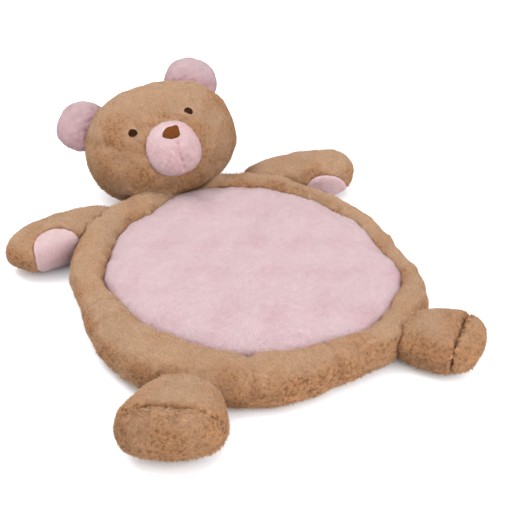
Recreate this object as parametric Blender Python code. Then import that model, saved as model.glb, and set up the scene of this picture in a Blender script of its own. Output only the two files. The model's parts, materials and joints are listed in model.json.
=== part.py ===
"""A bear-shaped plush floor rug: a padded ring round a soft belly pad, with a stuffed head, two arms and two feet.

The rug lies on its back on the floor, z = 0, with its head towards +Y and its feet towards -Y. Sizes are in
metres. Places are first given from the middle of the body, and the finished rug is then set with the bottom
centre of its bounding box on the world origin.
"""

import math

import bmesh
import bpy
from mathutils import Euler, Matrix, Vector

GAP = 0.0003  # air between two pieces that meet

# Body, seen from above
BODY_PLACE = (0.008, 0.027)
BODY_WIDTH = 0.648
BODY_LENGTH = 0.728
PAD_WIDTH = 0.546
PAD_LENGTH = 0.600
PAD_OFFSET = (0.023, 0.020)  # how far the pad's middle lies from the body's
OUTLINE_WAVE = 0.004  # how far the sewn outlines wander
OUTLINE_BUMPS = (
    # degrees from +X, how far the outline bulges there, its spread in degrees
    (-150.0, 0.018, 18.0),
    (-82.0, -0.030, 20.0),
    (-5.0, -0.028, 20.0),
    (32.0, -0.022, 24.0),
)
SEAM_BUMPS = (
    (-60.0, 0.008, 12.0),
    (-92.0, -0.018, 28.0),
    (0.0, -0.032, 17.0),
    (32.0, -0.020, 20.0),
    (113.0, -0.020, 9.0),
)
HEIGHT_BUMPS = ((-5.0, -0.012, 38.0),)
BODY_SEGMENTS = 56  # shared by the ring and the pad, so that their walls run side by side

# Body, in height
SEAM_HEIGHT = 0.043  # where the ring's plush is sewn to the pad's
RING_HEIGHT = 0.068
RING_CREST = 0.56  # place of the ring's highest line, as a share of the way from the seam to the outline
RING_WIDEST = 0.028  # height at which the ring reaches its outline
RING_CORNER = 2.3  # squareness of the stuffed sides, where 2 is an ellipse
WALL_CORNER = 12.0  # squareness below the seam, where ring and pad stand side by side
PAD_HEIGHT = 0.058
PAD_SAG = 0.008  # how far the middle of the pad lies below its crown
PAD_CORNER = 3.2

# Head, in its own frame: X across the face, Y to the crown, Z out of the face
HEAD_RADII = (0.159, 0.121, 0.090)
HEAD_PLACE = (-0.018, 0.447, 0.119)
HEAD_TURN = (44.7, 16.9, -10.4)  # degrees: tipped back, rolled in its own plane, turned about +Z
HEAD_CORNER = 2.25

EAR_RADII = (0.053, 0.049, 0.021)
EAR_CORNER = 2.2
EARS = (
    # name, x and y and z in the head's frame, lean in degrees
    ("ear_left", -0.133, 0.098, -0.014, 38.0),
    ("ear_right", 0.118, 0.106, -0.014, -38.0),
)

MUZZLE_RADII = (0.0570, 0.0580, 0.037)
MUZZLE_PLACE = (0.001, -0.040, 0.070)
MUZZLE_CORNER = 2.2

NOSE_RADII = (0.0210, 0.0160, 0.0090)
NOSE_PLACE = (0.006, -0.020, 0.1005)
NOSE_TIP_BACK = -24.0  # degrees: the nose leans with the upper slope of the muzzle
NOSE_TAPER = 0.30  # share of its width that the nose loses from top to bottom
NOSE_CORNER = 3.0

EYE_RADII = (0.0098, 0.0094, 0.0062)
EYE_SPREAD = 0.0615
EYE_HEIGHT = 0.0148
EYE_SINK = 0.0030  # how far the middle of an eye lies inside the face

# Limbs: each is a stuffed form from its root, inside the ring's edge, to its tip
LIMB_CORNER = 2.6
LIMB_PRESS = 0.003  # how much of its height a limb loses where it lies on the floor
ARMS = (
    # name, paw's name, root x, root y, tip x, tip y, root radius, tip radius, half height, paw's place, lift
    ("arm_left", "paw_left", -0.145, 0.345, -0.386, 0.232, 0.044, 0.063, 0.046, 0.45, 0.046),
    ("arm_right", "paw_right", 0.140, 0.385, 0.361, 0.302, 0.044, 0.068, 0.052, 0.47, 0.014),
)
FEET = (
    # name, sole's name, root x, root y, tip x, tip y, root radius, tip radius, half height, seam's place
    ("foot_left", "sole_left", -0.190, -0.210, -0.292, -0.390, 0.048, 0.102, 0.062, 0.50),
    ("foot_right", "sole_right", 0.165, -0.218, 0.281, -0.338, 0.048, 0.077, 0.051, 0.58),
)
# The place of a paw patch or of a sole's seam runs from the limb's middle, 0, to its tip, 1
PAW_RADII = (0.050, 0.045, 0.052)
PAW_ASIDE = 0.050  # how far the patch's middle lies from the arm's axis, on the side of the feet

SEGMENTS = {"large": 34, "medium": 26, "small": 20, "tiny": 12}

# Colours, as sRGB
BROWN = (0.733, 0.588, 0.463)
PINK = (0.890, 0.772, 0.788)
NOSE_BROWN = (0.541, 0.306, 0.165)
EYE_BROWN = (0.263, 0.137, 0.051)


def linear(channel):
    """One sRGB channel as the linear value that Blender's materials take."""
    return channel / 12.92 if channel <= 0.04045 else ((channel + 0.055) / 1.055) ** 2.4


def material(name, colour, roughness):
    """A Principled material in a plain colour."""
    made = bpy.data.materials.new(name)
    made.use_nodes = True
    shader = made.node_tree.nodes["Principled BSDF"]
    shader.inputs["Base Color"].default_value = (*[linear(channel) for channel in colour], 1.0)
    shader.inputs["Roughness"].default_value = roughness
    shader.inputs["Metallic"].default_value = 0.0
    made.diffuse_color = (*colour, 1.0)
    return made


def collection(name, hidden=False):
    """A collection under the scene's own."""
    made = bpy.data.collections.new(name)
    made.hide_render = hidden
    bpy.context.scene.collection.children.link(made)
    return made


def add_object(name, mesh, group, finish=None):
    """An object with this mesh, smooth, in one collection."""
    made = bpy.data.objects.new(name, mesh)
    group.objects.link(made)
    for polygon in mesh.polygons:
        polygon.use_smooth = True
    if finish:
        mesh.materials.append(finish)
    return made


def mesh_from(name, shape):
    """Turns a bmesh into a mesh, with its faces turned outwards."""
    bmesh.ops.recalc_face_normals(shape, faces=shape.faces)
    mesh = bpy.data.meshes.new(name)
    shape.to_mesh(mesh)
    shape.free()
    return mesh


def swell(shape, amount):
    """Moves each vertex out along its normal."""
    if not amount:
        return
    bmesh.ops.recalc_face_normals(shape, faces=shape.faces)
    shape.normal_update()
    moves = [(vertex, vertex.normal * amount) for vertex in shape.verts]
    for vertex, move in moves:
        vertex.co += move


def press_flat(shape, floor):
    """Lays flat on the floor what would go through it."""
    for vertex in shape.verts:
        vertex.co.z = max(vertex.co.z, floor)


def squared(value, corner):
    """The sine or cosine of an ellipse as that of a superellipse with this squareness."""
    return math.copysign(abs(value) ** (2.0 / corner), value)


def oval_radius(angle, width, length):
    """Distance from the middle of an oval to its edge, in the direction of angle."""
    return 1.0 / math.hypot(math.cos(angle) / (width / 2), math.sin(angle) / (length / 2))


def bulge(angle, bumps):
    """How far an outline bulges in the direction of angle."""
    total = 0.0
    for degrees, height, spread in bumps:
        turn = math.remainder(angle - math.radians(degrees), 2 * math.pi)
        total += height * math.exp(-((turn / math.radians(spread)) ** 2))
    return total


def outer_radius(angle):
    """The ring's outline, which wanders a little."""
    wave = OUTLINE_WAVE * (math.sin(3 * angle + 0.6) + 0.5 * math.sin(7 * angle))
    return oval_radius(angle, BODY_WIDTH, BODY_LENGTH) + wave + bulge(angle, OUTLINE_BUMPS)


def seam_radius(angle):
    """The seam between the ring and the pad."""
    wave = OUTLINE_WAVE * (math.sin(4 * angle + 1.9) + 0.6 * math.sin(9 * angle + 0.7))
    shift = PAD_OFFSET[0] * math.cos(angle) + PAD_OFFSET[1] * math.sin(angle)
    return oval_radius(angle, PAD_WIDTH, PAD_LENGTH) + shift + wave + bulge(angle, SEAM_BUMPS)


def ring_shape(grown=0.0, filled=False):
    """The padded ring: a torus drawn to the body's outline, flat underneath. Filled, it has no hole."""
    bpy.ops.mesh.primitive_torus_add(
        major_segments=BODY_SEGMENTS, minor_segments=16, major_radius=1.0, minor_radius=0.5
    )
    torus = bpy.context.object
    shape = bmesh.new()
    shape.from_mesh(torus.data)
    bpy.data.objects.remove(torus)
    if filled:
        inner_half = [vertex for vertex in shape.verts if math.hypot(vertex.co.x, vertex.co.y) < 0.99]
        bmesh.ops.delete(shape, geom=inner_half, context="VERTS")
        bmesh.ops.holes_fill(shape, edges=[edge for edge in shape.edges if edge.is_boundary])
    for vertex in shape.verts:
        angle = math.atan2(vertex.co.y, vertex.co.x)
        across = (math.hypot(vertex.co.x, vertex.co.y) - 1.0) / 0.5
        upward = vertex.co.z / 0.5
        inner, outer = seam_radius(angle) + GAP, outer_radius(angle)
        crest = inner + RING_CREST * (outer - inner)
        side, widest = (outer, RING_WIDEST) if across > 0 else (inner, SEAM_HEIGHT)
        corner = WALL_CORNER if across < 0 and upward < 0 else RING_CORNER
        radius = crest + (side - crest) * squared(abs(across), corner)
        rise = RING_HEIGHT + bulge(angle, HEIGHT_BUMPS) - widest
        height = widest + (rise if upward > 0 else widest) * squared(upward, corner)
        vertex.co = (radius * math.cos(angle), radius * math.sin(angle), height)
    swell(shape, grown)
    press_flat(shape, -grown)
    bmesh.ops.translate(shape, vec=(*BODY_PLACE, 0.0), verts=shape.verts)
    return shape


def pad_shape():
    """The belly pad: a sphere drawn to a low cushion that fills the ring, its middle a little sunken."""
    shape = bmesh.new()
    bmesh.ops.create_uvsphere(shape, u_segments=BODY_SEGMENTS, v_segments=14, radius=1.0)
    for vertex in shape.verts:
        angle = math.atan2(vertex.co.y, vertex.co.x)
        top = vertex.co.z > 0
        corner = PAD_CORNER if top else WALL_CORNER
        share = squared(min(math.hypot(vertex.co.x, vertex.co.y), 1.0), corner)
        rise = PAD_HEIGHT - SEAM_HEIGHT if top else SEAM_HEIGHT
        sag = PAD_SAG * (1.0 - share * share) if top else 0.0
        radius = seam_radius(angle) * share
        height = SEAM_HEIGHT + rise * squared(vertex.co.z, corner) - sag
        vertex.co = (radius * math.cos(angle), radius * math.sin(angle), height)
    bmesh.ops.translate(shape, vec=(*BODY_PLACE, 0.0), verts=shape.verts)
    return shape


def ball_shape(radii, corner, size, frame, grown=0.0, taper=0.0):
    """A stuffed form: a sphere squared off, stretched and set in place. Taper narrows it towards its -Y end."""
    shape = bmesh.new()
    segments = SEGMENTS[size]
    bmesh.ops.create_uvsphere(shape, u_segments=segments, v_segments=segments // 2, radius=1.0)
    for vertex in shape.verts:
        x, y, z = vertex.co
        reach = (abs(x) ** corner + abs(y) ** corner + abs(z) ** corner) ** (-1.0 / corner)
        narrow = 1.0 - taper * (1.0 - y * reach) / 2
        vertex.co = (x * reach * radii[0] * narrow, y * reach * radii[1], z * reach * radii[2])
    bmesh.ops.transform(shape, matrix=frame, verts=shape.verts)
    swell(shape, grown)
    press_flat(shape, -grown)
    return shape


def limb_frame(root, tip, half_height):
    """The frame of a limb that lies on the floor: X from its root to its tip, Z up."""
    middle = (Vector(root) + Vector(tip)) / 2
    angle = math.atan2(tip[1] - root[1], tip[0] - root[0])
    return Matrix.Translation((middle.x, middle.y, half_height)) @ Matrix.Rotation(angle, 4, "Z")


def limb_shape(root, tip, root_radius, tip_radius, half_height, grown=0.0):
    """A stuffed limb: a sphere drawn out along the limb and fuller towards its tip."""
    shape = bmesh.new()
    segments = SEGMENTS["medium"]
    bmesh.ops.create_uvsphere(shape, u_segments=segments, v_segments=segments // 2, radius=1.0)
    bmesh.ops.rotate(shape, matrix=Matrix.Rotation(math.pi / 2, 3, "Y"), verts=shape.verts)
    half_length = (Vector(tip) - Vector(root)).length / 2
    for vertex in shape.verts:
        x, y, z = vertex.co
        reach = (abs(x) ** LIMB_CORNER + abs(y) ** LIMB_CORNER + abs(z) ** LIMB_CORNER) ** (-1.0 / LIMB_CORNER)
        along = x * reach
        fullness = (1.0 + along) / 2
        width = root_radius + (tip_radius - root_radius) * fullness
        height = half_height * (root_radius / tip_radius + (1.0 - root_radius / tip_radius) * fullness)
        vertex.co = (along * half_length, y * reach * width, z * reach * height)
        vertex.co.z += height - half_height - LIMB_PRESS
    bmesh.ops.transform(shape, matrix=limb_frame(root, tip, half_height), verts=shape.verts)
    swell(shape, grown)
    press_flat(shape, -grown)
    return shape


def cut(piece, cutter, operation="DIFFERENCE"):
    """Cuts a piece with another object, as a modifier."""
    modifier = piece.modifiers.new(cutter.name, "BOOLEAN")
    modifier.operation = operation
    modifier.solver = "EXACT"
    modifier.object = cutter


def add_cutter(name, shape, group):
    """A helper for the Booleans, seen as wire and never rendered."""
    made = add_object(name, mesh_from(name, shape), group)
    made.display_type = "WIRE"
    made.hide_render = True
    return made


def head_frame():
    """The frame of the head, from its own axes to the rug's."""
    tip_back, roll, turn = [math.radians(degrees) for degrees in HEAD_TURN]
    rotation = Matrix.Rotation(turn, 4, "Z") @ Matrix.Rotation(tip_back, 4, "X") @ Matrix.Rotation(roll, 4, "Z")
    return Matrix.Translation(HEAD_PLACE) @ rotation


def face_height(x, y):
    """How far the head's front stands out of its middle at this place on the face."""
    across, upward, depth = HEAD_RADII
    rest = 1.0 - abs(x / across) ** HEAD_CORNER - abs(y / upward) ** HEAD_CORNER
    return depth * rest ** (1.0 / HEAD_CORNER)


def build_body(rug, cutters, brown, pink, head_cutter):
    """The ring, pressed in under the head, and the pad inside it. Returns the body's cutter for the limbs."""
    ring = add_object("body_ring", mesh_from("body_ring", ring_shape()), rug, brown)
    cut(ring, head_cutter)
    add_object("belly_pad", mesh_from("belly_pad", pad_shape()), rug, pink)
    return add_cutter("body_cutter", ring_shape(grown=GAP, filled=True), cutters)


def build_head(rug, cutters, brown, pink, nose_brown, eye_brown):
    """The head with its ears, muzzle, nose and eyes. Returns the head's cutter for its neighbours."""
    frame = head_frame()
    head = ball_shape(HEAD_RADII, HEAD_CORNER, "large", frame)
    add_object("head", mesh_from("head", head), rug, brown)
    grown_head = ball_shape(HEAD_RADII, HEAD_CORNER, "large", frame, grown=GAP)
    head_cutter = add_cutter("head_cutter", grown_head, cutters)

    for name, x, y, z, lean in EARS:
        ear_frame = frame @ Matrix.Translation((x, y, z)) @ Matrix.Rotation(math.radians(lean), 4, "Z")
        ear = ball_shape(EAR_RADII, EAR_CORNER, "small", ear_frame)
        cut(add_object(name, mesh_from(name, ear), rug, pink), head_cutter)

    muzzle_frame = frame @ Matrix.Translation(MUZZLE_PLACE)
    muzzle = ball_shape(MUZZLE_RADII, MUZZLE_CORNER, "medium", muzzle_frame)
    cut(add_object("muzzle", mesh_from("muzzle", muzzle), rug, pink), head_cutter)
    grown_muzzle = ball_shape(MUZZLE_RADII, MUZZLE_CORNER, "medium", muzzle_frame, grown=GAP)
    muzzle_cutter = add_cutter("muzzle_cutter", grown_muzzle, cutters)

    tip_back = Matrix.Rotation(math.radians(NOSE_TIP_BACK), 4, "X")
    nose_frame = frame @ Matrix.Translation(NOSE_PLACE) @ tip_back
    nose = ball_shape(NOSE_RADII, NOSE_CORNER, "small", nose_frame, taper=NOSE_TAPER)
    cut(add_object("nose", mesh_from("nose", nose), rug, nose_brown), muzzle_cutter)

    for name, side in (("eye_left", -1), ("eye_right", 1)):
        place = (side * EYE_SPREAD, EYE_HEIGHT, face_height(EYE_SPREAD, EYE_HEIGHT) - EYE_SINK)
        tilt = Euler((math.radians(-6.0), math.radians(side * 18.0), 0.0)).to_matrix().to_4x4()
        eye = ball_shape(EYE_RADII, 2.0, "tiny", frame @ Matrix.Translation(place) @ tilt)
        cut(add_object(name, mesh_from(name, eye), rug, eye_brown), head_cutter)
    return head_cutter


def build_arms(rug, cutters, brown, pink, neighbours):
    """Each arm, with a paw patch let into the side that faces the feet."""
    for name, paw_name, root_x, root_y, tip_x, tip_y, root_radius, tip_radius, half_height, along, lift in ARMS:
        root, tip = (root_x, root_y), (tip_x, tip_y)
        frame = limb_frame(root, tip, half_height)
        half_length = (Vector(tip) - Vector(root)).length / 2
        aside = PAW_ASIDE if tip_x < 0 else -PAW_ASIDE
        place = Matrix.Translation((along * half_length, aside, lift - half_height))
        paw_cutters = [
            add_cutter(f"{paw_name}_{label}", ball_shape(PAW_RADII, 2.2, "small", frame @ place, grown), cutters)
            for label, grown in (("form", 0.0), ("cutter", GAP))
        ]
        for piece_name, finish, operation, cutter in (
            (name, brown, "DIFFERENCE", paw_cutters[1]),
            (paw_name, pink, "INTERSECT", paw_cutters[0]),
        ):
            shape = limb_shape(root, tip, root_radius, tip_radius, half_height)
            piece = add_object(piece_name, mesh_from(piece_name, shape), rug, finish)
            for neighbour in neighbours:
                cut(piece, neighbour)
            cut(piece, cutter, operation)


def build_feet(rug, cutters, brown, sole_brown, neighbours):
    """Each foot, with its sole sewn on as a piece of its own."""
    for name, sole_name, root_x, root_y, tip_x, tip_y, root_radius, tip_radius, half_height, along in FEET:
        root, tip = (root_x, root_y), (tip_x, tip_y)
        frame = limb_frame(root, tip, half_height)
        half_length = (Vector(tip) - Vector(root)).length / 2
        seam = along * half_length
        for piece_name, finish, middle in (
            (name, brown, seam - GAP / 2 + half_length),
            (sole_name, sole_brown, seam + GAP / 2 - half_length),
        ):
            block = bmesh.new()
            bmesh.ops.create_cube(block, size=2 * half_length)
            bmesh.ops.transform(block, matrix=frame @ Matrix.Translation((middle, 0, 0)), verts=block.verts)
            cutter = add_cutter(f"{piece_name}_cutter", block, cutters)
            shape = limb_shape(root, tip, root_radius, tip_radius, half_height)
            piece = add_object(piece_name, mesh_from(piece_name, shape), rug, finish)
            if piece_name == name:
                for neighbour in neighbours:
                    cut(piece, neighbour)
            cut(piece, cutter)


def centre_on_origin(rug):
    """Hangs every piece and cutter on one empty, set so that the bounding box stands centred on the origin."""
    bpy.context.view_layer.update()
    graph = bpy.context.evaluated_depsgraph_get()
    corners = [Vector(corner) for piece in rug.objects for corner in piece.evaluated_get(graph).bound_box]
    holder = bpy.data.objects.new("rug_frame", None)
    bpy.context.scene.collection.objects.link(holder)
    for child in [other for other in bpy.data.objects if other is not holder]:
        child.parent = holder
    middle = [(min(corner[axis] for corner in corners) + max(corner[axis] for corner in corners)) / 2 for axis in (0, 1)]
    holder.location = (-middle[0], -middle[1], 0.0)
    bpy.context.view_layer.update()


def main():
    for leftover in list(bpy.data.objects):
        bpy.data.objects.remove(leftover)
    rug = collection("bear_rug")
    cutters = collection("cutters", hidden=True)
    brown = material("brown_plush", BROWN, 0.95)
    pink = material("pink_plush", PINK, 0.95)
    nose_brown = material("nose_cloth", NOSE_BROWN, 0.85)
    eye_brown = material("eye_thread", EYE_BROWN, 0.7)
    head_cutter = build_head(rug, cutters, brown, pink, nose_brown, eye_brown)
    body_cutter = build_body(rug, cutters, brown, pink, head_cutter)
    build_arms(rug, cutters, brown, pink, [body_cutter, head_cutter])
    build_feet(rug, cutters, brown, brown, [body_cutter])
    centre_on_origin(rug)


main()
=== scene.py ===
import json
import math

import bpy
import numpy as np
from bpy.props import FloatProperty, FloatVectorProperty, IntProperty, PointerProperty
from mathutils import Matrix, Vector
from mathutils.bvhtree import BVHTree

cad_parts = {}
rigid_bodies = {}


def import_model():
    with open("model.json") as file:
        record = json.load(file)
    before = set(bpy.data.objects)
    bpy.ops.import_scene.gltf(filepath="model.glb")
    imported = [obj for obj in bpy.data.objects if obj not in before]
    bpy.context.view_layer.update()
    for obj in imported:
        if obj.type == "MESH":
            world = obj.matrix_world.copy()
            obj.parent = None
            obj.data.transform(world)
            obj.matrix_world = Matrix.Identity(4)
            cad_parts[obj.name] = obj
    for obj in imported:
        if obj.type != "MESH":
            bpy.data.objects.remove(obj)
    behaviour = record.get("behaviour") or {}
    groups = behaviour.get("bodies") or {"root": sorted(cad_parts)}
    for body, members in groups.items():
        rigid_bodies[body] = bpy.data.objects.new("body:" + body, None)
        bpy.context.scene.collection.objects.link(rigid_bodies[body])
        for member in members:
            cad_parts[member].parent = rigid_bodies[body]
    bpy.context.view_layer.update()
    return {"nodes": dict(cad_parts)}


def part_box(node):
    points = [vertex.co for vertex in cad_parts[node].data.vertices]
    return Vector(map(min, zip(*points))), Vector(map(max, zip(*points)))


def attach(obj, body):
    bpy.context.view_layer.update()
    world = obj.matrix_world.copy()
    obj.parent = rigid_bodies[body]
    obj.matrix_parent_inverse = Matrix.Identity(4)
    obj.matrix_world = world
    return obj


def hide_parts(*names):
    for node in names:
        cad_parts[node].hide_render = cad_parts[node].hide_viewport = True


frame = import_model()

bl_info = {
    "name": "Bear Rug",
    "version": (1, 0, 0),
    "blender": (4, 5, 0),
    "location": "View3D > Sidebar > Bear Rug",
    "description": "Builds a bear-shaped plush floor rug piece by piece, on its fixed frame",
    "category": "Object",
}

# The body's middle, from which its sewn outlines are drawn, lies a little aside of the ring's own box
RING_LOW, RING_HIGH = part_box("body_ring")
BODY_MIDDLE = (RING_LOW + RING_HIGH) / 2 + Vector((0.0116, -0.0046, 0.0))

MERGE = 0.00001
UNDERSIDE = -0.45  # a normal that points further down than this belongs to the flat underside
FLOOR_GAP = 0.0004
FAR = 0.05  # distances to the next piece are not told apart beyond this

# The stuffing: pressure inside the cloth, and the number of steps for which it swells
PRESSURE = 4.0
SWELL_STEPS = 20

# The pile. Heights and lengths are shares of a tuft's length, and angles are degrees from upright
SEAM_GAP = 0.0014  # pile stands where the next piece is at least this far away
STRAY = 0.28  # how far a tuft may stray from the nap, against its length of 1
SUNK = 0.22
# Below this share of its length a tuft takes the painted root shade
TIP_FROM = 0.3
LENGTH_SPREAD = 0.25
# The cloth between the tufts lies this far from the painted root shade toward the tip colour
CLOTH_HEIGHT = 0.42
CLOTH_TONE = 0.5
BROWN_LEAN = (48.0, 62.0)
BELLY_LEAN = (60.0, 72.0)
EAR_LEAN = (56.0, 68.0)
PATCH_LEAN = (58.0, 70.0)

# The map: the share of its height that the cloth takes, and where a tuft's corners lie in its cell
MAP_CLOTH = 0.42
TUFT_CELL = ((0.05, 0.08), (0.95, 0.08), (0.5, 0.02), (0.5, 0.95))


# ---------------------------------------------------------------- sizes and colours a user may change


def length_property(name, description, default):
    return FloatProperty(
        name=name, description=description, default=default, min=0.0, unit="LENGTH", precision=4
    )


def colour_property(name, description, default):
    return FloatVectorProperty(
        name=name, description=description, default=default, size=3, subtype="COLOR", min=0.0, max=1.0
    )


class RugPile(bpy.types.PropertyGroup):
    """The pile of the plush."""

    brown_length: length_property("Brown pile length", "Length of the brown tufts", 0.0066)
    pink_length: length_property("Pink pile length", "Length of the pink tufts", 0.0044)
    tuft_width: length_property("Tuft width", "Width of a tuft at its root", 0.0021)
    brown_density: FloatProperty(
        name="Brown tufts", description="Brown tufts on each square metre", default=170000.0, min=0.0
    )
    pink_density: FloatProperty(
        name="Pink tufts", description="Pink tufts on each square metre", default=170000.0, min=0.0
    )
    seed: IntProperty(name="Seed", description="Changes where the tufts stand", default=4)


class RugColours(bpy.types.PropertyGroup):
    """The colours of the cloths, as linear values."""

    brown: colour_property("Brown plush", "Colour of the body, head and limbs", (0.372, 0.243, 0.158))
    pink: colour_property("Pink plush", "Colour of the belly, ears, muzzle and paws", (0.455, 0.354, 0.360))
    nose: colour_property("Nose cloth", "Colour of the nose", (0.118, 0.034, 0.0075))
    eyes: colour_property("Eye thread", "Colour of the stitched eyes", (0.024, 0.007, 0.002))
    floor: colour_property("Floor", "Colour of the floor", (0.87, 0.90, 0.93))


class RugStage(bpy.types.PropertyGroup):
    """The camera and the studio light."""

    azimuth: FloatProperty(
        name="Azimuth",
        description="Direction of the camera round the rug",
        default=math.radians(-22.0),
        subtype="ANGLE",
    )
    elevation: FloatProperty(
        name="Elevation",
        description="Height of the camera as an angle",
        default=math.radians(34.0),
        subtype="ANGLE",
    )
    distance: length_property("Distance", "From the camera to the body's middle", 2.0)
    lens: FloatProperty(name="Lens", description="Focal length of the camera", default=76.94, unit="CAMERA")
    key_power: FloatProperty(name="Key light", description="Power of the large soft light", default=37.0)
    sky: FloatProperty(name="Surrounding light", description="Strength of the light all round", default=1.5)


def pile():
    return bpy.context.scene.rug_pile


def colours():
    return bpy.context.scene.rug_colours


# ---------------------------------------------------------------- nodes


class Value:
    """What a socket carries, so that masks are written as sums and products."""

    def __init__(self, nodes, socket):
        self.nodes = nodes
        self.socket = socket

    def __add__(self, term):
        return self.nodes.maths("ADD", self, term)

    def __sub__(self, term):
        return self.nodes.maths("SUBTRACT", self, term)

    def __mul__(self, factor):
        return self.nodes.maths("MULTIPLY", self, factor)

    def __rsub__(self, term):
        return self.nodes.maths("SUBTRACT", term, self)

    __radd__ = __add__
    __rmul__ = __mul__


class Nodes:
    """A node tree and the one way in which nodes are added to it."""

    def __init__(self, tree):
        self.tree = tree
        tree.nodes.clear()

    def node(self, kind, settings=None, inputs=None, output=0):
        """Adds a node, sets it, fills its sockets and returns one of its outputs."""
        made = self.tree.nodes.new(kind)
        for name, setting in (settings or {}).items():
            setattr(made, name, setting)
        for name, value in (inputs or {}).items():
            if isinstance(value, Value):
                self.tree.links.new(value.socket, made.inputs[name])
            else:
                made.inputs[name].default_value = value
        return Value(self, made.outputs[output]) if len(made.outputs) else made

    def maths(self, operation, first, second=0.0):
        return self.node("ShaderNodeMath", {"operation": operation}, {0: first, 1: second})

    def vector(self, operation, first, second):
        return self.node("ShaderNodeVectorMath", {"operation": operation}, {0: first, 1: second})

    def noise(self, place, size, detail=2.0, roughness=0.5):
        """Smooth noise from 0 to 1, with features of about this size in metres."""
        values = {"Vector": place, "Scale": 1.0 / size, "Detail": detail, "Roughness": roughness}
        return self.node("ShaderNodeTexNoise", {"normalize": True}, values, "Fac")

    def steps(self, value, low, high):
        """0 below low, 1 above high and a smooth rise between them."""
        settings = {"interpolation_type": "SMOOTHSTEP"}
        inputs = {"Value": value, "From Min": low, "From Max": high}
        return self.node("ShaderNodeMapRange", settings, inputs)

    def blend(self, share, first, second):
        """One colour turning into another as share goes from 0 to 1."""
        settings = {"data_type": "RGBA", "blend_type": "MIX"}
        return self.node("ShaderNodeMix", settings, {0: share, 6: first, 7: second}, 2)

    def tinted(self, colour, factor):
        """A colour made lighter or darker."""
        return self.node("ShaderNodeVectorMath", {"operation": "SCALE"}, {0: colour, "Scale": factor})


def shade(colour, factor):
    """A colour times a number or three, with its alpha."""
    factors = factor if isinstance(factor, tuple) else (factor,) * 3
    return (*[min(channel * by, 1.0) for channel, by in zip(colour, factors)], 1.0)


def new_material(name):
    made = bpy.data.materials.new(name)
    made.use_nodes = True
    return made, Nodes(made.node_tree)


def finish_material(nodes, values, settings=None):
    """Ends a material in a Principled shader with these socket values."""
    shader = nodes.node("ShaderNodeBsdfPrincipled", settings, values, "BSDF")
    nodes.node("ShaderNodeOutputMaterial", None, {"Surface": shader})


def plush_material(name, colour, root, tip, shade_tint, tone_and_fleck_shade, mottle, sheen):
    """Short soft pile with painted shade: darker toward the root, lighter at the tip, and tinted deeper and
    flecked with dark specks where its painted shade attribute is high.
    """
    made, nodes = new_material(name)
    place = nodes.node("ShaderNodeTexCoord", output="Object")
    broad = nodes.noise(place, 0.090, 2.0)
    clumps = nodes.noise(place, 0.016, 3.0, 0.6)
    strands = nodes.noise(place, 0.0030, 2.0, 0.6)
    height = nodes.node("ShaderNodeAttribute", {"attribute_name": "pile_height"}, output="Fac")
    tone = nodes.node("ShaderNodeAttribute", {"attribute_name": "pile_tone"}, output="Fac")
    # Painted shade: how much the pile is darkened and flecked as if in shade, plus random patches
    shade_and_patches = nodes.node("ShaderNodeAttribute", {"attribute_name": "pile_zone"}, output="Fac")

    # Painted shade: the tufts are darker toward their roots, where shade falls deep in the pile
    lift = nodes.steps(height + 0.35 * (strands - 0.5), 0.0, 1.0)
    body = nodes.blend(lift, shade(colour, root), shade(colour, tip))
    # Painted shade: the colour turns toward its shade tint as the painted shade attribute rises
    shaded_colour = nodes.blend(shade_and_patches, body, nodes.vector("MULTIPLY", body, shade_tint))
    mottled = 1.0 + mottle * (0.5 * (broad - 0.5) + clumps - 0.5) + tone_and_fleck_shade * (tone - 0.5)
    # Painted shade: dark specks that stand for the shade in the gaps where the pile parts
    shade_flecks = nodes.steps(nodes.noise(place, 0.0060, 3.0, 0.65), 0.49, 0.63) * shade_and_patches
    skin = nodes.tinted(shaded_colour, mottled * (1.0 - tone_and_fleck_shade * 2.2 * shade_flecks))

    relief = strands + 0.6 * clumps - 0.5 * shade_flecks
    bumps = nodes.node("ShaderNodeBump", None, {"Strength": 0.35, "Distance": 0.0012, "Height": relief})
    finish_material(
        nodes,
        {
            "Base Color": skin,
            "Roughness": 0.86 + 0.12 * strands,
            "Normal": bumps,
            "Specular IOR Level": 0.18,
            "Sheen Weight": sheen,
            "Sheen Roughness": 0.45,
            "Sheen Tint": shade(colour, 1.35),
        },
    )
    return made


def thread_material(name, colour, thread, gloss):
    """Close stitching: fine raised threads with a dull shine, painted darker in the grooves and lighter on
    the raised threads, as painted shade and light.
    """
    made, nodes = new_material(name)
    place = nodes.node("ShaderNodeTexCoord", output="Object")
    wander = nodes.noise(place, 0.008, 2.0)
    turned = nodes.node("ShaderNodeMapping", None, {"Vector": place, "Rotation": (0.3, 0.5, 0.6)})
    settings = {"wave_type": "BANDS", "bands_direction": "X", "wave_profile": "SIN"}
    inputs = {"Vector": turned, "Scale": 0.31 / thread, "Distortion": 2.2, "Detail": 2.0}
    threads = nodes.node("ShaderNodeTexWave", settings, inputs, "Fac")
    fibres = nodes.noise(place, 0.0012, 3.0, 0.7)
    # Painted shade in the grooves between threads and painted light on their crests, following the thread
    # relief
    thread_shade_and_light = nodes.blend(threads, shade(colour, 0.62), shade(colour, 1.18))
    skin = nodes.tinted(thread_shade_and_light, 0.80 + 0.22 * fibres + 0.22 * wander)
    bumps = nodes.node(
        "ShaderNodeBump", None, {"Strength": 0.55, "Distance": 0.0006, "Height": threads + 0.5 * fibres}
    )
    finish_material(
        nodes,
        {
            "Base Color": skin,
            "Roughness": gloss + 0.18 * fibres,
            "Normal": bumps,
            "Specular IOR Level": 0.05,
            "Sheen Weight": 0.01,
            "Sheen Roughness": 0.4,
        },
    )
    return made


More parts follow.
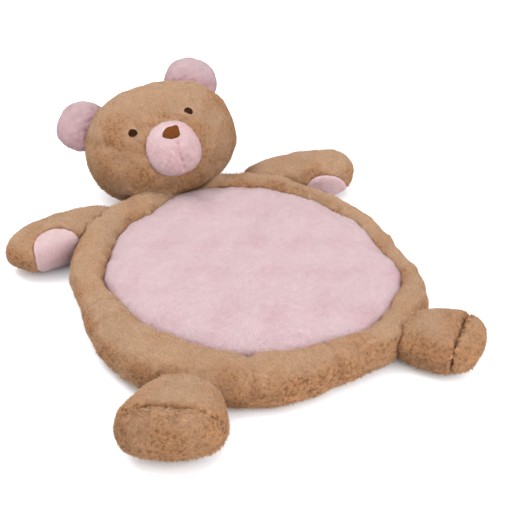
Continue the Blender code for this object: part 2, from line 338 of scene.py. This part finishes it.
def floor_material():
    """A plain matt floor with the faintest unevenness."""
    made, nodes = new_material("studio_floor")
    place = nodes.node("ShaderNodeTexCoord", output="Object")
    cloud = nodes.noise(place, 0.6, 2.0)
    tone = tuple(colours().floor)
    skin = nodes.blend(cloud, shade(tone, 0.99), shade(tone, 1.0))
    finish_material(nodes, {"Base Color": skin, "Roughness": 0.9, "Specular IOR Level": 0.1})
    return made


# Factors of the colour at the root, where it is painted shade, at the tip and in painted shade, then the
# strength of the random tuft tone and the painted shade flecks, of mottling and of sheen
BROWN_PILE = ((0.76, 0.68, 0.60), (1.08, 1.08, 1.08), (0.96, 0.78, 0.61), 0.22, 0.32, 0.20)
PINK_PILE = ((0.92, 0.84, 0.87), (1.03, 1.04, 1.04), (0.97, 0.84, 0.87), 0.06, 0.14, 0.15)

# The muzzle's and paws' pink, and the ears', as factors of the belly's
PATCH_TINT = (1.08, 1.07, 1.04)
EAR_TINT = (0.88, 0.86, 0.86)


def finish_named(name):
    """The material of that name, made when it is first asked for."""
    found = bpy.data.materials.get(name)
    if found:
        return found
    tones = colours()
    if name == "brown_pile":
        return plush_material(name, tones.brown, *BROWN_PILE)
    if name == "pink_pile":
        return plush_material(name, tones.pink, *PINK_PILE)
    if name == "patch_pile":
        return plush_material(name, shade(tones.pink, PATCH_TINT)[:3], *PINK_PILE)
    if name == "ear_pile":
        return plush_material(name, shade(tones.pink, EAR_TINT)[:3], *PINK_PILE)
    if name == "nose_felt":
        return thread_material(name, tones.nose, thread=0.0016, gloss=0.62)
    return thread_material(name, tones.eyes, thread=0.0012, gloss=0.42)


# ---------------------------------------------------------------- shaping


def only(piece):
    """Selects one object alone and makes it active."""
    if bpy.context.mode != "OBJECT":
        bpy.ops.object.mode_set(mode="OBJECT")
    bpy.ops.object.select_all(action="DESELECT")
    piece.select_set(True)
    bpy.context.view_layer.objects.active = piece


def apply_modifier(piece, name, kind, **settings):
    """Adds a modifier, sets it and applies it."""
    only(piece)
    modifier = piece.modifiers.new(name, kind)
    for key, value in settings.items():
        setattr(modifier, key, value)
    bpy.ops.object.modifier_apply(modifier=modifier.name)


def read(piece, kind="co"):
    """The places or the normals of a piece's vertices."""
    mesh = piece.data
    found = np.empty(len(mesh.vertices) * 3, np.float32)
    if kind == "co":
        mesh.vertices.foreach_get("co", found)
    else:
        mesh.vertex_normals.foreach_get("vector", found)
    return found.reshape(-1, 3).astype(np.float64)


def write(piece, places):
    """Moves a piece's vertices to these places."""
    piece.data.vertices.foreach_set("co", np.ascontiguousarray(places, np.float32).ravel())
    piece.data.update()


def drift(places, size, seed, waves=10):
    """Smooth, repeatable noise at these places, mostly between -1 and 1."""
    rng = np.random.default_rng(seed)
    directions = rng.normal(size=(waves, 3))
    directions /= np.linalg.norm(directions, axis=1)[:, None]
    turns = 2 * math.pi / (size * rng.uniform(0.7, 1.5, waves))
    phases = rng.uniform(0, 2 * math.pi, waves)
    waved = np.sin(places @ (directions * turns[:, None]).T + phases)
    return waved.sum(1) / math.sqrt(waves) * 0.9


def smooth_step(value, low, high):
    """0 below low, 1 above high and a smooth rise between them."""
    share = np.clip((value - low) / (high - low), 0.0, 1.0)
    return share * share * (3 - 2 * share)


def nearest_on(places, path):
    """For each place, in space or seen from above: its distance to a path, and how far along it that is."""
    path = np.asarray(path, float)
    best = np.full(len(places), np.inf)
    reached = np.zeros(len(places))
    walked = 0.0
    for start, end in zip(path[:-1], path[1:]):
        step = end - start
        length = float(np.linalg.norm(step))
        share = np.clip((places - start) @ step / length**2, 0.0, 1.0)
        apart = np.linalg.norm(places - start - share[:, None] * step, axis=1)
        closer = apart < best
        best[closer] = apart[closer]
        reached[closer] = walked + share[closer] * length
        walked += length
    return best, reached


def crease(piece, path, depth, width, ends=0.02):
    """Presses a fold into a piece along a path in space, or seen from above. It fades at its ends."""
    places, normals = read(piece), read(piece, "normals")
    axes = len(path[0])
    distance, along = nearest_on(places[:, :axes], path)
    total = sum(math.dist(a, b) for a, b in zip(path[:-1], path[1:]))
    fade = smooth_step(along, -1e-6, ends) * smooth_step(total - along, -1e-6, ends)
    fold = depth * np.exp(-((distance / width) ** 2)) * fade
    if axes == 2:
        fold *= smooth_step(normals[:, 2], -0.3, 0.1)
    write(piece, places - normals * fold[:, None])


def dent(piece, centre, radius, depth):
    """Pushes a soft dent into a piece round a point, or raises it where depth is below 0."""
    places, normals = read(piece), read(piece, "normals")
    apart = np.linalg.norm(places - np.asarray(centre), axis=1)
    write(piece, places - normals * (depth * np.exp(-((apart / radius) ** 2)))[:, None])


def gather(piece, node, size, height, reach, seed, sink=0.0):
    """Puckers the cloth where it is sewn to the next piece, and sinks it there. A sink below 0 raises it."""
    places, normals = read(piece), read(piece, "normals")
    gaps = seam_gaps(places, node)
    above = smooth_step(normals[:, 2], UNDERSIDE, 0.0)
    puckers = height * drift(places, size, seed) * np.exp(-((gaps / reach) ** 2))
    sunk = sink * np.exp(-((gaps / 0.005) ** 2))
    write(piece, places + normals * ((puckers - sunk) * above)[:, None])


def free_copy(node, name):
    """A copy of a CAD solid, with its loose triangles joined."""
    mesh = frame["nodes"][node].data.copy()
    mesh.materials.clear()
    piece = bpy.data.objects.new(name, mesh)
    bpy.context.scene.collection.objects.link(piece)
    only(piece)
    bpy.ops.object.mode_set(mode="EDIT")
    bpy.ops.mesh.select_all(action="SELECT")
    bpy.ops.mesh.remove_doubles(threshold=MERGE)
    bpy.ops.mesh.tris_convert_to_quads()
    bpy.ops.mesh.normals_make_consistent(inside=False)
    bpy.ops.object.mode_set(mode="OBJECT")
    bpy.ops.object.shade_smooth()
    return piece


def inflate(piece, cap):
    """Swells a stuffed piece with Blender's cloth. No point moves further than cap."""
    only(piece)
    before = read(piece)
    cloth = piece.modifiers.new("stuffing", "CLOTH")
    settings = cloth.settings
    settings.quality = 5
    settings.use_pressure = True
    settings.uniform_pressure_force = PRESSURE
    settings.effector_weights.gravity = 0.0
    cloth.point_cache.frame_start = 1
    cloth.point_cache.frame_end = SWELL_STEPS
    scene = bpy.context.scene
    for step in range(1, SWELL_STEPS + 1):
        scene.frame_set(step)
    bpy.ops.object.modifier_apply(modifier=cloth.name)
    scene.frame_set(1)
    moves = read(piece) - before
    far = np.linalg.norm(moves, axis=1)
    limited = np.minimum(1.0, cap / np.maximum(far, 1e-9))
    write(piece, before + moves * limited[:, None])


def stuffed(node, name, voxel, smooth, levels=2):
    """A CAD solid as an even mesh of soft cloth, with its facets rounded off."""
    piece = free_copy(node, name)
    apply_modifier(piece, "round", "SUBSURF", levels=levels, render_levels=levels)
    apply_modifier(piece, "weave", "REMESH", mode="VOXEL", voxel_size=voxel, use_smooth_shade=True)
    apply_modifier(piece, "soften", "SMOOTH", factor=0.5, iterations=smooth)
    return piece


def let_out(piece, *depths):
    """Lets the cloth out by one depth, or by one along each axis, and keeps its underside on the floor."""
    places, normals = read(piece), read(piece, "normals")
    side = 1.0 - smooth_step(-normals[:, 2], -UNDERSIDE, -UNDERSIDE + 0.3)
    moved = places + normals * side[:, None] * np.array(depths)
    moved[:, 2] = np.maximum(moved[:, 2], FLOOR_GAP)
    write(piece, moved)


def lumps(piece, size, height, seed):
    """Uneven stuffing: soft rises and dips."""
    places, normals = read(piece), read(piece, "normals")
    rise = height * drift(places, size, seed) * smooth_step(places[:, 2], 0.0, 0.02)
    write(piece, places + normals * rise[:, None])


def store(piece, name, kind, field, values):
    """Writes an attribute of the piece's vertices."""
    attribute = piece.data.attributes.get(name) or piece.data.attributes.new(name, kind, "POINT")
    attribute.data.foreach_set(field, np.ascontiguousarray(values, np.float32).ravel())


def neighbours_of(node):
    """The other CAD solids, as one tree to measure distances to."""
    points, faces = [], []
    for name, other in sorted(frame["nodes"].items()):
        if name == node:
            continue
        offset = len(points)
        points += [vertex.co.copy() for vertex in other.data.vertices]
        faces += [[offset + index for index in polygon.vertices] for polygon in other.data.polygons]
    return BVHTree.FromPolygons(points, faces)


def seam_gaps(places, node):
    """How far each place is from the nearest other CAD solid."""
    tree = neighbours_of(node)
    return np.array([tree.find_nearest(Vector(place), FAR)[3] or FAR for place in places])


# ---------------------------------------------------------------- pile


def tuft(length, width):
    """One tuft: a slim three-sided point at the origin, a little sunk, and rising along +Z."""
    name = f"tuft_{round(length * 1e5)}"
    found = bpy.data.objects.get(name)
    if found:
        return found
    bpy.ops.object.select_all(action="DESELECT")
    bpy.ops.mesh.primitive_cone_add(
        vertices=3, radius1=width / 2, depth=length, location=(0.0, 0.0, length / 2 - SUNK * length)
    )
    made = bpy.context.object
    made.name = name
    bpy.ops.object.transform_apply(location=True, rotation=True, scale=True)
    heights = read(made)[:, 2]
    # The lower part of the tuft takes the painted root shade, the rest the tip colour
    store(made, "pile_height", "FLOAT", "value", (heights > TIP_FROM * length).astype(float))
    made.hide_render = True
    made.hide_viewport = True
    return made


def pile_tree(tufts, density, seed):
    """Geometry nodes that stand tufts on a cloth, turned along its nap, and join them to it."""
    tree = bpy.data.node_groups.new("pile", "GeometryNodeTree")
    tree.interface.new_socket("Geometry", in_out="INPUT", socket_type="NodeSocketGeometry")
    tree.interface.new_socket("Geometry", in_out="OUTPUT", socket_type="NodeSocketGeometry")
    nodes = Nodes(tree)

    def named(attribute, kind):
        settings = {"data_type": kind}
        return nodes.node("GeometryNodeInputNamedAttribute", settings, {"Name": attribute}, "Attribute")

    def random(low, high, salt, kind="FLOAT"):
        names = {"FLOAT": (2, 3, 1), "FLOAT_VECTOR": (0, 1, 0)}[kind]
        inputs = {names[0]: low, names[1]: high, "Seed": seed + salt}
        return nodes.node("FunctionNodeRandomValue", {"data_type": kind}, inputs, names[2])

    cloth = nodes.node("NodeGroupInput", output="Geometry")
    points = nodes.node(
        "GeometryNodeDistributePointsOnFaces",
        {"distribute_method": "RANDOM"},
        {"Mesh": cloth, "Density": named("pile_share", "FLOAT") * density, "Seed": seed},
        "Points",
    )
    toned = nodes.node(
        "GeometryNodeStoreNamedAttribute",
        {"data_type": "FLOAT", "domain": "POINT"},
        {"Geometry": points, "Name": "pile_tone", "Value": random(0.0, 1.0, 11)},
        "Geometry",
    )
    astray = random((-STRAY,) * 3, (STRAY,) * 3, 17, "FLOAT_VECTOR")
    way = nodes.vector("ADD", named("nap", "FLOAT_VECTOR"), astray)
    leaning = nodes.node("FunctionNodeAlignRotationToVector", {"axis": "Z"}, {"Vector": way})
    spin = nodes.node("ShaderNodeCombineXYZ", None, {"Z": random(0.0, 2 * math.pi, 23)})
    turned = nodes.node(
        "FunctionNodeRotateRotation", {"rotation_space": "LOCAL"}, {"Rotation": leaning, "Rotate By": spin}
    )
    tall = named("pile_length", "FLOAT") * random(1.0 - LENGTH_SPREAD, 1.0 + LENGTH_SPREAD, 37)
    wide = random(0.8, 1.2, 41)
    size = nodes.node("ShaderNodeCombineXYZ", None, {"X": wide, "Y": wide, "Z": tall})
    shape = nodes.node("GeometryNodeObjectInfo", None, {"Object": tufts}, "Geometry")
    standing = nodes.node(
        "GeometryNodeInstanceOnPoints",
        None,
        {"Points": toned, "Instance": shape, "Rotation": turned, "Scale": size},
    )
    real = nodes.node("GeometryNodeRealizeInstances", None, {"Geometry": standing})
    # The last link comes first in the joined mesh: the cloth's vertices keep their places at its start
    joined = nodes.tree.nodes.new("GeometryNodeJoinGeometry")
    nodes.tree.links.new(real.socket, joined.inputs[0])
    nodes.tree.links.new(cloth.socket, joined.inputs[0])
    nodes.node("NodeGroupOutput", None, {"Geometry": Value(nodes, joined.outputs[0])})
    return tree


def grow_pile(
    piece,
    node,
    finish,
    length,
    density,
    flow,
    lean=BROWN_LEAN,
    swirl=0.35,
    seam_tone=0.0,
    fringe=0.0,
    seams=(),
    bare=SEAM_GAP,
):
    """Covers a cloth with pile, brushed along flow, and finishes the piece.

    At the next piece the pile is painted in deeper shade, by the given seam share, and is longer by fringe;
    along the seams it parts and is painted in shade.
    """
    settings = pile()
    places, normals = read(piece), read(piece, "normals")
    cloth_points = len(places)
    gaps = seam_gaps(places, node)

    loose = np.stack([drift(places, 0.024, 100 + axis) for axis in range(3)], 1)
    fine = np.stack([drift(places, 0.009, 200 + axis) for axis in range(3)], 1)
    brushed = np.asarray(flow, float) + swirl * (loose + 0.3 * fine)
    brushed = brushed - (brushed * normals).sum(1)[:, None] * normals
    brushed /= np.maximum(np.linalg.norm(brushed, axis=1), 1e-6)[:, None]
    mix = 0.5 + 0.5 * np.clip(drift(places, 0.013, 300), -1, 1)
    angle = np.radians(lean[0] + (lean[1] - lean[0]) * mix)[:, None]
    nap = normals * np.cos(angle) + brushed * np.sin(angle)

    share = smooth_step(gaps, bare, 2 * bare) * smooth_step(normals[:, 2], -0.75, -0.45)
    # Painted shade: the pile is tinted deeper and flecked on sides turned from the light above, toward the
    # front, near the next piece and along sewn seams; the drift adds random patches
    side = smooth_step(0.98 - normals[:, 2], 0.0, 0.60)
    front = smooth_step(-places[:, 1], 0.10, 0.40)
    shade_and_patches = 0.70 * side + 0.25 * front + 0.30 * drift(places, 0.075, 500) + seam_tone * np.exp(-gaps / 0.012)
    for path in seams:
        apart, _ = nearest_on(places, path)
        share = share * smooth_step(apart, 0.0010, 0.0028)
        shade_and_patches = shade_and_patches + np.exp(-((apart / 0.0022) ** 2))
    lengths = 1.0 + 0.18 * drift(places, 0.011, 400) + fringe * np.exp(-gaps / 0.006)

    store(piece, "nap", "FLOAT_VECTOR", "vector", nap)
    store(piece, "pile_share", "FLOAT", "value", share)
    store(piece, "pile_length", "FLOAT", "value", lengths)
    store(piece, "pile_height", "FLOAT", "value", np.full(cloth_points, CLOTH_HEIGHT))
    store(piece, "pile_tone", "FLOAT", "value", np.full(cloth_points, CLOTH_TONE))
    store(piece, "pile_zone", "FLOAT", "value", np.clip(shade_and_patches, 0.0, 1.0))
    store(piece, "cloth_normal", "FLOAT_VECTOR", "vector", normals)
    tufts = tuft(length, settings.tuft_width)
    apply_modifier(piece, "pile", "NODES", node_group=pile_tree(tufts, density, settings.seed))

    standing = read(piece)
    standing[:, 2] = np.maximum(standing[:, 2], FLOOR_GAP)
    write(piece, standing)
    soften_shading(piece, cloth_points)
    lay_out(piece, cloth_points)
    dress(piece, finish)


def soften_shading(piece, cloth_points, share=0.86):
    """Turns the shading of each tuft most of the way to that of the cloth under it, as fine hair looks."""
    mesh = piece.data
    own = read(piece, "normals")
    base = np.empty(len(mesh.vertices) * 3, np.float32)
    mesh.attributes["cloth_normal"].data.foreach_get("vector", base)
    base = base.reshape(-1, 3)
    mixed = own * (1 - share) + base * share
    mixed[:cloth_points] = own[:cloth_points]
    mixed /= np.maximum(np.linalg.norm(mixed, axis=1), 1e-6)[:, None]
    mesh.polygons.foreach_set("use_smooth", np.ones(len(mesh.polygons), bool))
    mesh.normals_split_custom_set_from_vertices([tuple(normal) for normal in mixed])
    for name in ("cloth_normal", "nap", "pile_share", "pile_length"):
        mesh.attributes.remove(mesh.attributes[name])


def lay_out(piece, cloth_points):
    """A map for the piece: the cloth in six flat views at the bottom, and a cell for each tuft above."""
    mesh = piece.data
    corners = np.empty(len(mesh.loops), np.int32)
    mesh.loops.foreach_get("vertex_index", corners)
    starts = np.empty(len(mesh.polygons), np.int32)
    mesh.polygons.foreach_get("loop_start", starts)
    counts = np.empty(len(mesh.polygons), np.int32)
    mesh.polygons.foreach_get("loop_total", counts)
    normals = np.empty(len(mesh.polygons) * 3, np.float32)
    mesh.polygon_normals.foreach_get("vector", normals)
    face = np.repeat(np.arange(len(starts)), counts)
    normal = normals.reshape(-1, 3)[face]
    place = read(piece)[corners]
    low, high = place.min(0), place.max(0)
    inside = (place - low) / (high - low)
    side = np.abs(normal).argmax(1)
    facing = normal[np.arange(len(side)), side] > 0
    views = ((1, 2), (0, 2), (0, 1))
    across = np.choose(side, [inside[:, a] for a, _ in views])
    upward = np.choose(side, [inside[:, b] for _, b in views])
    column = side * 2 + facing
    map_places = np.stack([(column + 0.03 + 0.94 * across) / 6, (0.02 + 0.96 * upward) * MAP_CLOTH], 1)

    is_tuft = corners >= cloth_points
    index = corners - cloth_points
    total = max((len(mesh.vertices) - cloth_points) // 4, 1)
    columns = max(int(math.sqrt(total * 2.0 / (1 - MAP_CLOTH))), 1)
    rows = math.ceil(total / columns)
    cell = index // 4
    spot = np.array(TUFT_CELL)[index % 4]
    x = (cell % columns + spot[:, 0]) / columns
    y = MAP_CLOTH + (cell // columns + spot[:, 1]) / rows * (1 - MAP_CLOTH)
    map_places[is_tuft] = np.stack([x, y], 1)[is_tuft]
    layer = mesh.uv_layers.new(name="OFBake")
    layer.uv.foreach_set("vector", np.ascontiguousarray(map_places, np.float32).ravel())


def dress(piece, finish):
    """Gives a piece its one material."""
    piece.data.materials.clear()
    piece.data.materials.append(finish_named(finish))


def declare(piece, node):
    """Names the piece's mesh after it, hangs the piece on the root body it rides on and hides the CAD solid
    it stands for.
    """
    piece.data.name = piece.name
    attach(piece, "root")
    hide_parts(node)


# ---------------------------------------------------------------- the pieces


# Seams that are sewn into one piece: low on the ring's outer side, and from the nose down the muzzle
LOWER_SEAM = (
    (-0.110, -0.388, 0.031),
    (-0.030, -0.405, 0.032),
    (0.070, -0.390, 0.022),
    (0.160, -0.345, 0.018),
)
MUZZLE_SEAM = (
    (-0.001, 0.262, 0.172),
    (-0.005, 0.245, 0.152),
    (-0.001, 0.237, 0.138),
    (0.001, 0.235, 0.112),
)

# Folds across the ring: direction from the body's middle and its bend, in degrees, then depth and width
RING_FOLDS = (
    (-175.5, -1.5, 0.008, 0.006),
    (-163.0, -4.0, 0.003, 0.006),
    (-112.0, 2.0, 0.006, 0.011),
    (-84.0, -1.0, 0.007, 0.007),
    (-60.0, 4.0, 0.003, 0.010),
)
FOLD_FROM, FOLD_TO = 0.24, 0.40  # distances from the body's middle

# Troughs in the belly pad, seen from above
UPPER_TROUGH = ((0.005, 0.252), (0.030, 0.224), (0.050, 0.190))
LOWER_TROUGH = ((-0.010, -0.270), (0.015, -0.285), (0.040, -0.297))

# Corners of the nose, and how far each is drawn out
NOSE_CORNERS = (
    ((-0.029, 0.272, 0.177), 0.005),
    ((0.008, 0.286, 0.187), 0.003),
    ((0.005, 0.265, 0.174), 0.003),
)


def ring_line(degrees, near, far, bend=0.0, points=9):
    """A line across the ring in this direction from the body's middle, between two distances from it."""
    line = []
    for step in range(points):
        share = step / (points - 1)
        angle = math.radians(degrees + bend * share)
        reach = near + (far - near) * share
        line.append((BODY_MIDDLE.x + reach * math.cos(angle), BODY_MIDDLE.y + reach * math.sin(angle)))
    return line


def brown_plush(piece, node, flow, **details):
    """Covers a piece with the brown pile."""
    grow_pile(piece, node, "brown_pile", pile().brown_length, pile().brown_density, flow, **details)


def pink_plush(piece, node, finish, flow, shorter=1.0, closer=1.0, **details):
    """Covers a piece with a pink pile, which may be shorter and closer than the belly's."""
    settings = pile()
    length, density = settings.pink_length * shorter, settings.pink_density * closer
    grow_pile(piece, node, finish, length, density, flow, **details)


class RUG_OT_ring(bpy.types.Operator):
    """Builds the padded plush ring round the belly."""

    bl_idname = "rug.ring"
    bl_label = "Ring"

    def execute(self, context):
        piece = stuffed("body_ring", "ring_plush", voxel=0.0055, smooth=6)
        inflate(piece, cap=0.004)
        lumps(piece, size=0.085, height=0.0022, seed=1)
        lumps(piece, size=0.034, height=0.0012, seed=2)
        for degrees, bend, depth, width in RING_FOLDS:
            crease(piece, ring_line(degrees, FOLD_FROM, FOLD_TO, bend), depth, width)
        crease(piece, LOWER_SEAM, depth=0.005, width=0.004, ends=0.06)
        dent(piece, (-0.280, -0.125, 0.060), radius=0.035, depth=-0.006)
        dent(piece, (-0.308, 0.000, 0.035), radius=0.090, depth=0.012)
        gather(piece, "body_ring", size=0.024, height=0.0016, reach=0.014, seed=21, sink=-0.002)
        let_out(piece, 0.0015)
        brown_plush(piece, "body_ring", (0.1, 1.0, 0.2), fringe=0.4, seams=(LOWER_SEAM,))
        declare(piece, "body_ring")
        return {"FINISHED"}


class RUG_OT_belly(bpy.types.Operator):
    """Builds the pink belly pad inside the ring."""

    bl_idname = "rug.belly"
    bl_label = "Belly pad"

    def execute(self, context):
        piece = stuffed("belly_pad", "belly_plush", voxel=0.0055, smooth=6)
        inflate(piece, cap=0.004)
        lumps(piece, size=0.11, height=0.0020, seed=3)
        lumps(piece, size=0.040, height=0.0009, seed=4)
        crease(piece, UPPER_TROUGH, depth=0.004, width=0.010)
        crease(piece, LOWER_TROUGH, depth=0.004, width=0.012)
        gather(piece, "belly_pad", size=0.024, height=0.0018, reach=0.014, seed=22, sink=-0.005)
        let_out(piece, 0.0035)
        # The belly is painted in deeper shade near the next pieces
        pink_plush(
            piece,
            "belly_pad",
            "pink_pile",
            (0.2, 1.0, 0.1),
            lean=BELLY_LEAN,
            swirl=0.3,
            seam_tone=0.3,
            fringe=0.8,
        )
        declare(piece, "belly_pad")
        return {"FINISHED"}


class RUG_OT_head(bpy.types.Operator):
    """Builds the stuffed head."""

    bl_idname = "rug.head"
    bl_label = "Head"

    def execute(self, context):
        piece = stuffed("head", "head_plush", voxel=0.0048, smooth=5)
        inflate(piece, cap=0.004)
        lumps(piece, size=0.070, height=0.0016, seed=5)
        lumps(piece, size=0.030, height=0.0008, seed=6)
        dent(piece, (-0.085, 0.400, 0.205), radius=0.055, depth=-0.009)
        dent(piece, (-0.127, 0.323, 0.153), radius=0.011, depth=0.008)
        gather(piece, "head", size=0.018, height=0.0012, reach=0.012, seed=23)
        let_out(piece, 0.0010)
        brown_plush(piece, "head", (0.0, 0.6, 0.8), bare=0.0024)
        declare(piece, "head")
        return {"FINISHED"}


class RUG_OT_ears(bpy.types.Operator):
    """Builds the two pink ears."""

    bl_idname = "rug.ears"
    bl_label = "Ears"

    def execute(self, context):
        for side, seed in (("left", 7), ("right", 8)):
            node = f"ear_{side}"
            piece = stuffed(node, f"{node}_plush", voxel=0.0036, smooth=3)
            inflate(piece, cap=0.002)
            lumps(piece, size=0.030, height=0.0010, seed=seed)
            gather(piece, node, size=0.014, height=0.0024, reach=0.020, seed=seed + 20)
            let_out(piece, 0.0045)
            # The ears are painted in deeper shade where they meet the head
            pink_plush(
                piece,
                node,
                "ear_pile",
                (0.0, 0.6, 0.8),
                shorter=0.85,
                closer=1.15,
                lean=EAR_LEAN,
                swirl=0.4,
                seam_tone=1.0,
            )
            declare(piece, node)
        return {"FINISHED"}


class RUG_OT_muzzle(bpy.types.Operator):
    """Builds the pink muzzle with its middle seam."""

    bl_idname = "rug.muzzle"
    bl_label = "Muzzle"

    def execute(self, context):
        piece = stuffed("muzzle", "muzzle_plush", voxel=0.0026, smooth=3)
        inflate(piece, cap=0.0005)
        let_out(piece, 0.0030)
        crease(piece, MUZZLE_SEAM, depth=0.0095, width=0.0034, ends=0.010)
        pink_plush(
            piece,
            "muzzle",
            "patch_pile",
            (0.0, 0.6, 0.8),
            shorter=0.8,
            closer=1.25,
            lean=PATCH_LEAN,
            swirl=0.4,
            seams=(MUZZLE_SEAM,),
        )
        declare(piece, "muzzle")
        return {"FINISHED"}


class RUG_OT_nose(bpy.types.Operator):
    """Builds the brown nose."""

    bl_idname = "rug.nose"
    bl_label = "Nose"

    def execute(self, context):
        piece = stuffed("nose", "nose_patch", voxel=0.0011, smooth=4)
        lumps(piece, size=0.008, height=0.0004, seed=9)
        let_out(piece, 0.0012)
        for corner, rise in NOSE_CORNERS:
            dent(piece, corner, radius=0.007, depth=-rise)
        dress(piece, "nose_felt")
        declare(piece, "nose")
        return {"FINISHED"}


class RUG_OT_eyes(bpy.types.Operator):
    """Builds the two stitched eyes."""

    bl_idname = "rug.eyes"
    bl_label = "Eyes"

    def execute(self, context):
        for side, seed in (("left", 10), ("right", 11)):
            node = f"eye_{side}"
            piece = stuffed(node, f"{node}_stitched", voxel=0.0007, smooth=3)
            lumps(piece, size=0.006, height=0.0002, seed=seed)
            let_out(piece, 0.0022)
            dress(piece, "eye_stitches")
            declare(piece, node)
        return {"FINISHED"}


class RUG_OT_arms(bpy.types.Operator):
    """Builds the two arms and their pink paw patches."""

    bl_idname = "rug.arms"
    bl_label = "Arms"

    def execute(self, context):
        for side, seed, flow in (("left", 12, (-0.6, 0.8, 0.2)), ("right", 13, (0.6, 0.8, 0.2))):
            node = f"arm_{side}"
            arm = stuffed(node, f"{node}_plush", voxel=0.0042, smooth=4)
            inflate(arm, cap=0.003)
            lumps(arm, size=0.045, height=0.0012, seed=seed)
            gather(arm, node, size=0.016, height=0.0014, reach=0.012, seed=seed + 20)
            brown_plush(arm, node, flow)
            declare(arm, node)

            node = f"paw_{side}"
            paw = stuffed(node, f"{node}_plush", voxel=0.0036, smooth=3)
            inflate(paw, cap=0.002)
            let_out(paw, 0.0010)
            pink_plush(
                paw, node, "patch_pile", flow, shorter=0.85, closer=1.15, lean=PATCH_LEAN, swirl=0.4
            )
            declare(paw, node)
        return {"FINISHED"}


class RUG_OT_feet(bpy.types.Operator):
    """Builds the two feet and their soles."""

    bl_idname = "rug.feet"
    bl_label = "Feet"

    def execute(self, context):
        for side, seed, wide, sink in (("left", 14, 0.004, 0.002), ("right", 15, 0.000, 0.0)):
            for part, flow in (("foot", (-0.3, 1.0, 0.3)), ("sole", (0.2, -0.3, -1.0))):
                node = f"{part}_{side}"
                piece = stuffed(node, f"{node}_plush", voxel=0.0042, smooth=4)
                inflate(piece, cap=0.003)
                lumps(piece, size=0.045, height=0.0012, seed=seed)
                if node == "sole_left":
                    dent(piece, (-0.250, -0.490, 0.020), radius=0.060, depth=0.007)
                gather(piece, node, size=0.012, height=0.0020, reach=0.009, seed=seed + 20, sink=sink)
                let_out(piece, wide, 0.0, 0.0005)
                # The feet are painted in deeper shade near the next pieces
                brown_plush(piece, node, flow, seam_tone=0.5, bare=0.0016)
                declare(piece, node)
        return {"FINISHED"}


class RUG_OT_stage(bpy.types.Operator):
    """Sets the floor, the studio light and the camera."""

    bl_idname = "rug.stage"
    bl_label = "Stage"

    def execute(self, context):
        settings = context.scene.rug_stage
        bpy.ops.object.select_all(action="DESELECT")
        bpy.ops.mesh.primitive_plane_add(size=14.0, location=(0.0, 0.0, 0.0))
        floor = context.object
        floor.name = "studio_floor"
        floor.data.materials.append(floor_material())

        world = bpy.data.worlds.new("studio")
        context.scene.world = world
        world.use_nodes = True
        nodes = Nodes(world.node_tree)
        white = {"Color": (1.0, 1.0, 1.0, 1.0), "Strength": settings.sky}
        sky = nodes.node("ShaderNodeBackground", None, white)
        nodes.node("ShaderNodeOutputWorld", None, {"Surface": sky})

        aim = BODY_MIDDLE + Vector((-0.008, -0.027, 0.0))
        aim.z = 0.02
        for name, place, size, power in (
            ("key_light", (-1.1, 0.9, 2.4), 1.6, settings.key_power),
            ("fill_light", (0.9, -2.2, 1.2), 2.0, settings.key_power * 1.15),
        ):
            light = bpy.data.objects.new(name, bpy.data.lights.new(name, "AREA"))
            light.data.shape = "DISK"
            light.data.size = size
            light.data.energy = power
            light.location = place
            light.rotation_euler = (aim - light.location).to_track_quat("-Z", "Y").to_euler()
            context.scene.collection.objects.link(light)

        camera = bpy.data.objects.new("camera", bpy.data.cameras.new("camera"))
        context.scene.collection.objects.link(camera)
        turn, rise = settings.azimuth, settings.elevation
        back = Vector((math.sin(turn) * math.cos(rise), -math.cos(turn) * math.cos(rise), math.sin(rise)))
        camera.location = aim + back * settings.distance
        camera.rotation_euler = (-back).to_track_quat("-Z", "Y").to_euler()
        camera.data.lens = settings.lens
        camera.data.sensor_width = 36.0
        camera.data.shift_x = 0.0118
        camera.data.shift_y = 0.0706
        context.scene.camera = camera
        context.scene.view_settings.view_transform = "Standard"
        return {"FINISHED"}


# ---------------------------------------------------------------- panel and registration

PIECES = (
    RUG_OT_stage,
    RUG_OT_ring,
    RUG_OT_belly,
    RUG_OT_head,
    RUG_OT_ears,
    RUG_OT_muzzle,
    RUG_OT_nose,
    RUG_OT_eyes,
    RUG_OT_arms,
    RUG_OT_feet,
)


class RUG_PT_panel(bpy.types.Panel):
    """Lists the rug's sizes, colours and pieces."""

    bl_idname = "RUG_PT_panel"
    bl_label = "Bear Rug"
    bl_space_type = "VIEW_3D"
    bl_region_type = "UI"
    bl_category = "Bear Rug"

    def draw(self, context):
        for group in (context.scene.rug_pile, context.scene.rug_colours, context.scene.rug_stage):
            box = self.layout.box()
            for name in group.__annotations__:
                box.prop(group, name)
        for piece in PIECES:
            self.layout.operator(piece.bl_idname)


CLASSES = (RugPile, RugColours, RugStage, *PIECES, RUG_PT_panel)


def register():
    for made in CLASSES:
        bpy.utils.register_class(made)
    bpy.types.Scene.rug_pile = PointerProperty(type=RugPile)
    bpy.types.Scene.rug_colours = PointerProperty(type=RugColours)
    bpy.types.Scene.rug_stage = PointerProperty(type=RugStage)


def unregister():
    del bpy.types.Scene.rug_stage
    del bpy.types.Scene.rug_colours
    del bpy.types.Scene.rug_pile
    for made in reversed(CLASSES):
        bpy.utils.unregister_class(made)


def clear_tufts():
    """Removes the tufts from which the pile was copied."""
    for leftover in [piece for piece in bpy.data.objects if piece.name.startswith("tuft_")]:
        bpy.data.objects.remove(leftover)


def main():
    register()
    bpy.ops.rug.stage()
    bpy.ops.rug.ring()
    bpy.ops.rug.belly()
    bpy.ops.rug.head()
    bpy.ops.rug.ears()
    bpy.ops.rug.muzzle()
    bpy.ops.rug.nose()
    bpy.ops.rug.eyes()
    bpy.ops.rug.arms()
    bpy.ops.rug.feet()
    clear_tufts()


if __name__ == "__main__":
    main()
